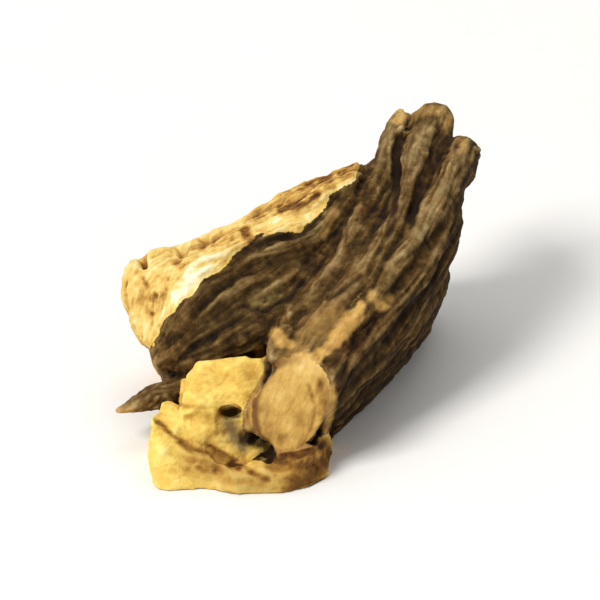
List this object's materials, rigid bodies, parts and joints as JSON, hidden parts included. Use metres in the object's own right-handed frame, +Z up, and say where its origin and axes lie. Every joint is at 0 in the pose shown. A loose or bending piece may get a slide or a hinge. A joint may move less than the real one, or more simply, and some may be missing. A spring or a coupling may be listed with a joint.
{
  "type": "dried gentian root chip",
  "caption": "Forked chip of dried root with deeply wrinkled bark, pale cut wood and a golden foot, resting on a flat cut base.",
  "frame": {"origin": "under the middle of the chip, on the surface that it rests on", "axes": "+Z up, -Y towards the golden foot and the cut end, +X towards the fingers of bark"},
  "size_m": [0.0224, 0.0256, 0.0133],
  "materials": {
    "root": "dry, rough bark with matt cream and golden cut wood"
  },
  "bodies": {
    "root": {"root_piece": "root"}
  },
  "joints": []
}
